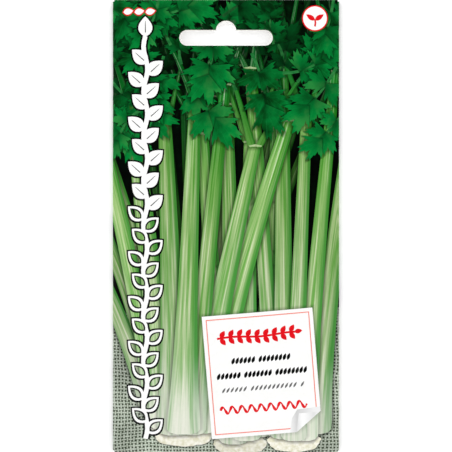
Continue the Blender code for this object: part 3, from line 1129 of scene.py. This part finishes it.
def finishInk(ink, colour):
    # coated stock: a smooth clay coat with a faint fibre grain, ink with a slight mottle on it
    add, where = ink.add, ink.where
    mottle = add("TexNoise", {"Vector": where, "Scale": noiseScale(paperFinish["mottle"]), "Detail": 2.0})
    spread = add("MapRange", {0: mottle, 3: 0.96, 4: 1.03})
    cast = add("Math", [ink.shade, -1.0, 1.0], "MULTIPLY_ADD")
    both = add("Math", [spread, cast], "MULTIPLY")
    printed = add("VectorMath", {0: colour, "Scale": both}, "SCALE")
    outward = add("Math", [add("SeparateXYZ", [where])], "ABSOLUTE")
    side = packet["width"] / 2 * mm
    fold = side - paperFinish["wornWidth"] * mm
    edge = add("MapRange", {0: outward, 1: fold, 2: side, 4: paperFinish["edgeWear"]})
    rub = add("TexNoise", {"Vector": where, "Scale": noiseScale(paperFinish["rub"]), "Detail": 4.0})
    wear = add("Math", [edge, add("MapRange", [rub, 0.42, 0.62])], "MULTIPLY")
    worn = add("Mix", {0: wear, 6: printed, 7: paperFinish["rubbed"]}, out=2, data_type="RGBA")
    shadePaper(add, where, worn, paperFinish["roughness"], paperFinish["fibreBump"])
    return ink.material


def shadePaper(add, where, colour, roughness, strength):
    fibre = add("TexNoise", {"Vector": where, "Scale": noiseScale(paperFinish["fibre"]), "Detail": 3.0})
    wave = add("TexNoise", {"Vector": where, "Scale": noiseScale(paperFinish["wave"]), "Detail": 1.0})
    height = add("Math", [wave, 1.5, fibre], "MULTIPLY_ADD")
    bump = add("Bump", {"Strength": strength, "Distance": paperFinish["relief"] * mm, "Height": height})
    specular = paperFinish["specular"]
    finishSurface(
        add, {"Base Color": colour, "Roughness": roughness, "Specular IOR Level": specular, "Normal": bump}
    )


def barePaper():
    # uncoated side of the stock: matt, with its fibres to be seen
    material, add = newMaterial("uncoated_paper_white")
    where = add("TexCoord", out="Object")
    fibre = add("TexNoise", {"Vector": where, "Scale": noiseScale(paperFinish["bareFibre"]), "Detail": 4.0})
    colour = add("ValToRGB", [fibre], stops=paperFinish["bareTones"])
    shadePaper(add, where, colour, paperFinish["bareRoughness"], paperFinish["bareBump"])
    return material


# Inks of one colour: the material, the size of its thin and full patches in millimetres, its tones,
# and how finely the patches are broken up where it isn't the usual 2.
plainInks = {
    "gap": ("process_ink_dark", 5.56, ((0.35, "#000100"), (0.6, "#010a03"), (0.8, "#04240c")), 3.0),
    "petiole": ("process_ink_leaf_rib", 1.43, ((0.35, "#1c7034"), (0.65, "#338643"))),
    "root": ("process_ink_root", 1.43, ((0.35, "#dfdcc2"), (0.65, "#f6f4e8"))),
    "joint": ("process_ink_joint", 1.43, ((0.35, "#a3c683"), (0.65, "#c9deaa"))),
    "white": ("coated_paper_white", 5.0, ((0.3, "#fbfbf9"), (0.7, "#fefefd"))),
    "black": ("process_ink_black", 5.0, ((0.3, "#020202"), (0.7, "#060606"))),
    "grey": ("process_ink_grey", 5.0, ((0.3, "#5c5c5c"), (0.7, "#6c6c6c"))),
    "red": ("process_ink_red", 5.0, ((0.3, "#de0f1a"), (0.7, "#e8141f"))),
    "frameLine": ("process_ink_salmon", 5.0, ((0.3, "#ee8578"), (0.7, "#f39284"))),
    "backGreen": ("process_ink_green", 5.0, ((0.3, "#1c7a3c"), (0.7, "#238443"))),
    "backSoil": ("process_ink_soil", 5.0, ((0.3, "#6b4a2d"), (0.7, "#7d5936"))),
}


def plainInk(name, patch, tones, detail=2.0):
    ink = startInk(name)
    cloud = ink.add("TexNoise", {"Vector": ink.where, "Scale": noiseScale(patch), "Detail": detail})
    base = ink.add("ValToRGB", [cloud], stops=tones)
    return finishInk(ink, ink.add("VectorMath", {0: base, "Scale": ink.light}, "SCALE"))


# The lifted corner's greys: the material, where they start and end across the label, their tones.
curlInks = {
    "curlShadow": (
        "process_ink_curl_shadow", 7.5, 17.5, ((0.0, "#fdfdfd"), (0.35, "#d2d2d2"), (1.0, "#f1f1f1")),
    ),
    "curlBack": (
        "process_ink_curl_back", 9.5, 19.5,
        ((0.0, "#d0d0d0"), (0.35, "#ffffff"), (0.75, "#e4e4e4"), (1.0, "#f8f8f8")),
    ),
}


def curlInk(name, start, end, tones):
    ink = startInk(name)
    share = ink.add("MapRange", [ink.across, start, end])
    return finishInk(ink, ink.add("ValToRGB", [share], stops=tones))


stalkPrint = {
    # tones from the foot of the picture to its top, and how far a stalk's tint moves them
    "tones": (
        (0.0, "#f7f5e8"), (0.13, "#edf3da"), (0.26, "#dbe8be"), (0.42, "#cfe0ac"), (0.58, "#bfd897"),
        (0.72, "#9ac873"), (0.84, "#58aa4b"), (0.93, "#2f9843"), (1.0, "#0c7a36"),
    ),
    "from": -80.0,
    "to": 70.0,
    "shift": 46.0,
    "ribs": 4.2,  # ribs across half a stalk
    "ribLength": 0.006,  # how fast the ribs change along a stalk
    "crest": "#eef6de",
    "groove": (0.26, 0.56, 0.2),  # what is left of the stalk's red, green and blue
    "sideShade": (0.09, 0.39, 0.1),
    "lightFrom": 0.22,  # how far left of its middle a stalk is lightest, in half widths
    "blanched": "#f6f7ea",
    "blanchTop": -44.0,  # the pale foot has faded out at this height
    "blanchFull": -76.0,
}


def stalkInk():
    # printed stalk: pale at the foot, greener upwards, with fine ribs along it
    ink = startInk("process_ink_stalk")
    add, across, along = ink.add, ink.across, ink.along
    shift = stalkPrint["shift"]
    rise = add("Math", [ink.tint, shift, -shift / 2], "MULTIPLY_ADD")
    height = add("Math", [along, rise], "ADD")
    share = add("MapRange", [height, stalkPrint["from"], stalkPrint["to"]])
    base = add("ValToRGB", [share], stops=stalkPrint["tones"])
    lengthwise = add("Math", [along, stalkPrint["ribLength"]], "MULTIPLY")
    own = add("Math", [ink.tint, 37.0], "MULTIPLY")
    place = add("CombineXYZ", [across, lengthwise, own])
    ribs = add("TexNoise", {"Vector": place, "Scale": stalkPrint["ribs"], "Detail": 3.0, "Roughness": 0.56})
    groove = add("VectorMath", [base, stalkPrint["groove"]], "MULTIPLY")
    ribShare = add("MapRange", [ribs, 0.38, 0.64])
    ribbed = add("Mix", {0: ribShare, 6: groove, 7: base}, out=2, data_type="RGBA")
    crest = add("MapRange", [ribs, 0.57, 0.72, 0.0, 0.5])
    bright = add("Mix", {0: crest, 6: ribbed, 7: stalkPrint["crest"]}, out=2, data_type="RGBA")
    # round section: light from the left, the right side turns away into green shade
    aside = add("Math", [across, stalkPrint["lightFrom"]], "ADD")
    aside = add("Math", [add("Math", [aside], "ABSOLUTE"), 2.6], "POWER")
    turnAway = add("MapRange", [aside, 0.05, 0.95, 0.0, 0.96])
    green = add("VectorMath", [base, stalkPrint["sideShade"]], "MULTIPLY")
    rounded = add("Mix", {0: turnAway, 6: bright, 7: green}, out=2, data_type="RGBA")
    full, top = stalkPrint["blanchFull"], stalkPrint["blanchTop"]
    blanch = add("MapRange", [along, full, top, 0.8, 0.0], interpolation_type="SMOOTHSTEP")
    crease = add("MapRange", [ribs, 0.3, 0.55, 0.35, 1.0])
    blanch = add("Math", [blanch, crease], "MULTIPLY")
    pale = add("Mix", {0: blanch, 6: rounded, 7: stalkPrint["blanched"]}, out=2, data_type="RGBA")
    softer = add("Math", [blanch, -0.75, 1.0], "MULTIPLY_ADD")
    ink.shade = add("Math", [ink.shade, softer], "MULTIPLY")
    return finishInk(ink, add("VectorMath", {0: pale, "Scale": ink.light}, "SCALE"))


leafPrint = {
    "tones": ((0.0, "#00250a"), (0.28, "#005019"), (0.52, "#00722d"), (0.78, "#008637"), (1.0, "#2a9040")),
    "vein": "#1f8f48",
    "veins": 3.0,  # veins across half a leaflet
    "cloud": 3.85,  # millimetres across its light and dark patches
    "halfShade": 0.14,  # how much darker one half of a leaflet is than the other
}


def leafInk():
    # printed leaflet: veins run out from its foot, one half lies in the light
    ink = startInk("process_ink_leaf")
    add, across = ink.add, ink.across
    cloud = add("TexNoise", {"Vector": ink.where, "Scale": noiseScale(leafPrint["cloud"]), "Detail": 3.0})
    half = add("MapRange", [across, -0.5, 0.5, -leafPrint["halfShade"], leafPrint["halfShade"]])
    tone = add("Math", [ink.tint, 0.5, add("Math", [cloud, half], "ADD")], "MULTIPLY_ADD")
    base = add("ValToRGB", [add("MapRange", [tone, 0.25, 1.15])], stops=leafPrint["tones"])
    spokes = add("Math", [across, leafPrint["veins"]], "MULTIPLY")
    line = add("MapRange", [add("Math", [spokes, 0.5], "PINGPONG"), 0.0, 0.07, 0.4, 0.0])
    veined = add("Mix", {0: line, 6: base, 7: leafPrint["vein"]}, out=2, data_type="RGBA")
    foot = add("MapRange", [ink.along, 0.0, 0.6, 0.4, 1.0])
    strength = add("Math", [foot, ink.light], "MULTIPLY")
    return finishInk(ink, add("VectorMath", {0: veined, "Scale": strength}, "SCALE"))


clothPrint = {
    "tones": ((0.1, "#2f3628"), (0.33, "#65705b"), (0.56, "#9ba795"), (1.0, "#d2dacd")),
    "thread": 1.2,  # millimetres from one thread to the next
    "sway": 3.2,  # how far the threads wander, over the next value's distance
    "swayEvery": 14.3,
    "slub": 0.5,  # how uneven the threads are, and over what length
    "slubSize": 2.08,
    "fold": 22.2,
}


def clothInk():
    # printed sacking: plain weave of uneven threads, with a dark hole between every four
    ink = startInk("process_ink_sacking")
    add, where = ink.add, ink.where
    every = noiseScale(clothPrint["swayEvery"])
    sway = add("TexNoise", {"Vector": where, "Scale": every, "Detail": 2.0}, out="Color")
    amount = clothPrint["sway"] * mm
    shifted = add("VectorMath", [sway, (amount, amount, 0.0), where], "MULTIPLY_ADD")
    axes = add("SeparateXYZ", [shifted]).node.outputs
    sines, waves = [], []
    for axis in (0, 1):
        angle = add("Math", [axes[axis], math.pi / (clothPrint["thread"] * mm)], "MULTIPLY")
        sines.append(add("Math", [angle], "SINE"))
        waves.append(add("Math", [sines[-1]], "ABSOLUTE"))
    # which thread lies on top changes from one crossing to the next
    turn = add("Math", sines, "MULTIPLY")
    side = add("Math", waves, "SUBTRACT")
    over = add("Math", [turn, side], "MULTIPLY")
    thread = add("Math", [over, 0.5, add("Math", waves, "MAXIMUM")], "MULTIPLY_ADD")
    slub = add("TexNoise", {"Vector": where, "Scale": noiseScale(clothPrint["slubSize"]), "Detail": 3.0})
    body = add("Math", [slub, clothPrint["slub"], thread], "MULTIPLY_ADD")
    base = add("ValToRGB", [add("MapRange", [body, 0.72, 1.35])], stops=clothPrint["tones"])
    fold = add("TexNoise", {"Vector": where, "Scale": noiseScale(clothPrint["fold"]), "Detail": 1.0})
    dip = add("MapRange", [fold, 0.35, 0.6, 0.72, 1.05])
    return finishInk(ink, add("VectorMath", {0: base, "Scale": dip}, "SCALE"))


def makeInks():
    inks = {"bare": barePaper(), "cloth": clothInk(), "stalk": stalkInk(), "leaf": leafInk()}
    inks.update({name: plainInk(*row) for name, row in plainInks.items()})
    inks.update({name: curlInk(*row) for name, row in curlInks.items()})
    return inks


# What the packet holds together with, and what it holds

pasteFinish = {"tones": ((0.3, "#dcd6c0"), (0.7, "#efeadb")), "cloud": 2.0, "roughness": 0.34, "ior": 1.48}


def dryGlue():
    # dried paper glue: milky, slightly yellow, with a skin that catches the light
    material, add = newMaterial("dried_paste")
    where = add("TexCoord", out="Object")
    cloud = add("TexNoise", {"Vector": where, "Scale": noiseScale(pasteFinish["cloud"]), "Detail": 3.0})
    colour = add("ValToRGB", [cloud], stops=pasteFinish["tones"])
    bump = add("Bump", {"Strength": 0.4, "Distance": 0.1 * mm, "Height": cloud})
    roughness, ior = pasteFinish["roughness"], pasteFinish["ior"]
    finishSurface(add, {"Base Color": colour, "Roughness": roughness, "IOR": ior, "Normal": bump})
    return material


sachetFilm = {
    "tones": ((0.3, "#c4c5c6"), (0.7, "#d8d9d9")),
    "seal": 5.0,
    "crimp": 1.0,
    "crease": 6.25,
    "relief": 0.4,
}


def metallisedFilm():
    # metallised polyester film: bright satin, creased over the seeds, crimped where it is sealed
    material, add = newMaterial("metallised_polyester_film")
    low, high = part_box("inner_sachet")
    where = add("TexCoord", out="Object")
    centred = add("Mapping", [where, tuple(-(low + high) / 2)])
    x, y, _ = add("SeparateXYZ", [centred]).node.outputs
    halfWide, halfTall = (high.x - low.x) / 2, (high.y - low.y) / 2
    seal = sachetFilm["seal"] * mm
    sideSeal = add("Math", [add("Math", [x], "ABSOLUTE"), halfWide - seal], "GREATER_THAN")
    topSeal = add("Math", [y, halfTall - seal], "GREATER_THAN")
    sealed = add("Math", [sideSeal, topSeal], "MAXIMUM")
    diagonal = add("Math", [x, y], "ADD")
    angle = add("Math", [diagonal, 2 * math.pi / (sachetFilm["crimp"] * mm)], "MULTIPLY")
    crimp = add("Math", [add("Math", [angle], "SINE"), sealed], "MULTIPLY")
    scale = noiseScale(sachetFilm["crease"])
    crease = add("TexNoise", {"Vector": where, "Scale": scale, "Detail": 4.0, "Distortion": 0.8})
    height = add("Math", [crimp, 0.3, crease], "MULTIPLY_ADD")
    bump = add("Bump", {"Strength": 0.8, "Distance": sachetFilm["relief"] * mm, "Height": height})
    dull = add("MapRange", {0: crease, 3: 0.2, 4: 0.36})
    colour = add("ValToRGB", [crease], stops=sachetFilm["tones"])
    finishSurface(add, {"Base Color": colour, "Metallic": 1.0, "Roughness": dull, "Normal": bump})
    return material


seeds = {
    "tones": ((0.0, "#4b3a26"), (0.5, "#7b6443"), (1.0, "#a8926a")),
    "batch": 6.25,  # how many millimetres apart seeds are still much alike in colour
    "grain": 1.11,
    "length": 1.5,
    "width": 0.95,
    "thickness": 0.52,
    "spacing": 1.22,
    "jitter": 0.3,
    "ribs": 5,
    "ribHeight": 0.13,
    "rise": 0.36,  # from the lower layer of seeds to the upper one
    "draw": 5,
}


def drySeed():
    # dry seed coat: dull brown, speckled, its tone alike over neighbouring seeds
    material, add = newMaterial("dry_seed_coat")
    where = add("TexCoord", out="Object")
    grain = add("TexNoise", {"Vector": where, "Scale": noiseScale(seeds["grain"]), "Detail": 3.0})
    batch = add("TexNoise", {"Vector": where, "Scale": noiseScale(seeds["batch"])})
    tone = add("Math", [batch, 0.6, grain], "MULTIPLY_ADD")
    colour = add("ValToRGB", [add("MapRange", [tone, 0.5, 1.1])], stops=seeds["tones"])
    bump = add("Bump", {"Strength": 0.6, "Distance": 0.1 * mm, "Height": grain})
    finishSurface(add, {"Base Color": colour, "Roughness": 0.72, "Normal": bump})
    return material


def seedHeapTree():
    # a ribbed seed on each point of two jittered grids, cut to an oval heap
    tree = bpy.data.node_groups.new("seedHeap", "GeometryNodeTree")
    add = partial(addNode, tree)
    face = tree.interface
    face.new_socket("Geometry", in_out="INPUT", socket_type="NodeSocketGeometry")
    face.new_socket("Geometry", in_out="OUTPUT", socket_type="NodeSocketGeometry")
    for name in ("Half Width", "Half Height", "Spacing", "Jitter", "Length", "Width", "Thickness", "Rise"):
        face.new_socket(name, in_out="INPUT", socket_type="NodeSocketFloat")
    face.new_socket("Centre", in_out="INPUT", socket_type="NodeSocketVector")
    face.new_socket("Seed", in_out="INPUT", socket_type="NodeSocketInt")
    face.new_socket("Material", in_out="INPUT", socket_type="NodeSocketMaterial")
    given = add("NodeGroupInput").node.outputs

    ball = add("GeometryNodeMeshUVSphere", {"Segments": 2 * seeds["ribs"], "Rings": 5, "Radius": 0.5})
    spot = add("GeometryNodeInputPosition")
    axes = add("SeparateXYZ", [spot]).node
    angle = add("Math", [axes.outputs[1], axes.outputs[0]], "ARCTAN2")
    angle = add("Math", [angle, float(seeds["ribs"])], "MULTIPLY")
    rib = add("Math", [angle], "COSINE")
    rib = add("Math", [rib, seeds["ribHeight"], 0.92], "MULTIPLY_ADD")
    wide = add("Math", [given["Width"], rib], "MULTIPLY")
    flat = add("Math", [given["Thickness"], rib], "MULTIPLY")
    sizes = add("CombineXYZ", [wide, flat, given["Length"]])
    shaped = add("VectorMath", [spot, sizes], "MULTIPLY")
    seed = add("GeometryNodeSetPosition", {"Geometry": ball, "Position": shaped})

    layers = []
    for layer, reach in ((0, 0.93), (1, 0.74)):
        counts, spans = [], []
        for name in ("Half Width", "Half Height"):
            spans.append(add("Math", [given[name], 2.0], "MULTIPLY"))
            counts.append(add("Math", [spans[-1], given["Spacing"]], "DIVIDE"))
        grid = add(
            "GeometryNodeMeshGrid",
            {"Size X": spans[0], "Size Y": spans[1], "Vertices X": counts[0], "Vertices Y": counts[1]},
        )
        shift = add("Math", [given["Spacing"], 0.5 * layer], "MULTIPLY")
        rise = add("Math", [given["Rise"], float(layer)], "MULTIPLY")
        step = add("CombineXYZ", [shift, shift, rise])
        number = add("Math", [given["Seed"], 7.0 * layer], "ADD")
        loose = add(
            "FunctionNodeRandomValue", {0: (-1.0, -1.0, 0.0), 1: (1.0, 1.0, 0.0), "Seed": number},
            data_type="FLOAT_VECTOR",
        )
        loose = add("VectorMath", {0: loose, "Scale": given["Jitter"]}, "SCALE")
        moved = add("VectorMath", [step, loose], "ADD")
        points = add("GeometryNodeSetPosition", {"Geometry": grid, "Offset": moved})
        place = add("GeometryNodeInputPosition")
        halves = add("CombineXYZ", [given["Half Width"], given["Half Height"], 1.0])
        share = add("VectorMath", [place, halves], "DIVIDE")
        share = add("VectorMath", [share, (1.0, 1.0, 0.0)], "MULTIPLY")
        radius = add("VectorMath", [share], "LENGTH", out="Value")
        outside = add("Math", [radius, reach], "GREATER_THAN")
        layers.append(add("GeometryNodeDeleteGeometry", {"Geometry": points, "Selection": outside}))
    heap = add("GeometryNodeJoinGeometry", {"Geometry": layers[0]})
    tree.links.new(layers[1], heap.node.inputs["Geometry"])
    turn = add(
        "FunctionNodeRandomValue",
        {
            0: (math.pi / 2 - 0.2, -0.15, 0.0), 1: (math.pi / 2 + 0.2, 0.15, 2 * math.pi),
            "Seed": given["Seed"],
        },
        data_type="FLOAT_VECTOR",
    )
    size = add("FunctionNodeRandomValue", {2: 0.85, 3: 1.08, "Seed": given["Seed"]}, out=1)
    laid = add(
        "GeometryNodeInstanceOnPoints", {"Points": heap, "Instance": seed, "Rotation": turn, "Scale": size}
    )
    whole = add("GeometryNodeRealizeInstances", {"Geometry": laid})
    placed = add("GeometryNodeTransform", {"Geometry": whole, "Translation": given["Centre"]})
    painted = add("GeometryNodeSetMaterial", {"Geometry": placed, "Material": given["Material"]})
    add("NodeGroupOutput", {"Geometry": painted})
    return tree


def makeSeeds():
    low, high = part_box("seed_fill")
    tree = seedHeapTree()
    holder = addObject("seedHeapMaker", bpy.data.meshes.new("seedHeapMaker"))
    nodes = holder.modifiers.new("seedHeap", "NODES")
    nodes.node_group = tree
    values = {
        "Half Width": (high.x - low.x) / 2,
        "Half Height": (high.y - low.y) / 2,
        "Centre": ((low.x + high.x) / 2, (low.y + high.y) / 2, low.z + 0.6 * seeds["thickness"] * mm),
        "Seed": seeds["draw"],
        "Material": drySeed(),
    }
    for name in ("Spacing", "Jitter", "Length", "Width", "Thickness", "Rise"):
        values[name] = seeds[name.lower()] * mm
    for item in tree.interface.items_tree:
        if item.in_out == "INPUT" and item.name in values:
            nodes[item.identifier] = values[item.name]
    bpy.context.view_layer.update()
    evaluated = holder.evaluated_get(bpy.context.evaluated_depsgraph_get())
    mesh = bpy.data.meshes.new_from_object(evaluated)
    bpy.data.objects.remove(holder)
    mesh.name = "loose_seeds"
    print(f"heap of seeds: {len(mesh.polygons)} faces")
    return addObject("loose_seeds", mesh)


# Stage

tent = {
    "floor": 3.8,  # metres
    "radius": 1.75,
    "height": 0.84,
    "glow": 1.1,
    "floorGlow": 0.2,  # softens the contact shadows
    "sides": 64,
}


def makeStage():
    # a pale floor inside a low ring of glowing cloth, open above the camera
    bpy.ops.mesh.primitive_plane_add(size=tent["floor"])
    floor = bpy.context.object
    floor.name = "floor"
    floor.data.transform(Matrix.Translation((0, 0, -0.0001)))  # just clear of the packet's back
    # matt board: an even white that mirrors nothing
    board, add = newMaterial("matt_white_board")
    look = {"Base Color": "#f6f6f6", "Roughness": 0.9, "Emission Color": "#ffffff"}
    finishSurface(add, {**look, "Emission Strength": tent["floorGlow"]})
    floor.data.materials.append(board)

    shape = bmesh.new()
    radius, count = tent["radius"], tent["sides"]
    low, high = [], []
    for angle in np.linspace(0, 2 * math.pi, count, endpoint=False):
        x, y = radius * math.cos(angle), radius * math.sin(angle)
        low.append(shape.verts.new((x, y, -0.01)))
        high.append(shape.verts.new((x, y, tent["height"])))
    for i in range(count):
        after = (i + 1) % count
        shape.faces.new((low[after], low[i], high[i], high[after]))
    mesh = bpy.data.meshes.new("light_tent")
    shape.to_mesh(mesh)
    shape.free()
    # cloth lit from behind: an even glow from all sides
    cloth, add = newMaterial("lit_tent_cloth")
    add("OutputMaterial", [add("Emission", {"Color": "#ffffff", "Strength": tent["glow"]})])
    mesh.materials.append(cloth)
    wall = addObject("light_tent", mesh)
    wall.visible_glossy = False  # lights the packet softly, without a haze over its coated paper


lamps = {
    "distance": 1.2,
    "height": 0.75,  # low enough that no gloss goes straight up to the camera
    "size": 1.3,
    "power": (10.1, 10.7, 9.2, 8.8),
    "mirrored": 2,  # the one softbox that the coated paper mirrors, the rest only light it
    "world": 0.05,
}


def makeLight():
    for i, power in enumerate(lamps["power"]):
        angle = math.pi / 4 + i * math.pi / 2
        lamp = bpy.data.lights.new(f"softbox_{i}", "AREA")
        lamp.size = lamps["size"]
        lamp.energy = power
        holder = addObject(f"softbox_{i}", lamp)
        away = lamps["distance"]
        holder.location = (away * math.cos(angle), away * math.sin(angle), lamps["height"])
        holder.rotation_euler = (-holder.location).to_track_quat("-Z", "Y").to_euler()
        holder.visible_glossy = i == lamps["mirrored"]
    world = bpy.data.worlds.new("studio")
    world.use_nodes = True
    background = world.node_tree.nodes["Background"].inputs
    background[0].default_value = (1, 1, 1, 1)
    background[1].default_value = lamps["world"]
    bpy.context.scene.world = world
    bpy.context.scene.view_settings.view_transform = "Standard"


view = {"lens": 100.0, "sensor": 36.0, "imageHeight": 159.5, "faceHeight": 1.4}


def makeCamera():
    # straight above, with the packet's top and bottom edges on the picture's edges
    camera = bpy.data.cameras.new("camera")
    camera.lens = view["lens"]
    camera.sensor_width = view["sensor"]
    camera.clip_start = 0.01
    holder = addObject("camera", camera)
    distance = view["imageHeight"] / 2 / (view["sensor"] / 2 / view["lens"])
    holder.location = (0, 0, (distance + view["faceHeight"]) * mm)
    bpy.context.scene.camera = holder


# Run

drawPicture()
drawBorder()
drawGrainMarks()
drawBadge()
drawLabel()
drawBack()
print(f"drawn {len(shapes)} shapes of ink")

envelope = makeEnvelope(makeInks())
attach(envelope, "root")
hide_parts("paper_envelope")
print("envelope folded")

seedHeap = makeSeeds()
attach(seedHeap, "root")
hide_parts("seed_fill")

paste = dryGlue()
for name, finish in (
    ("back_seam_glue", paste),
    ("bottom_flap_glue", paste),
    ("top_flap_glue", paste),
    ("inner_sachet", metallisedFilm()),
):
    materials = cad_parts[name].data.materials
    materials.clear()
    materials.append(finish)
print("sachet, seeds and glue finished")

makeStage()
makeLight()
makeCamera()
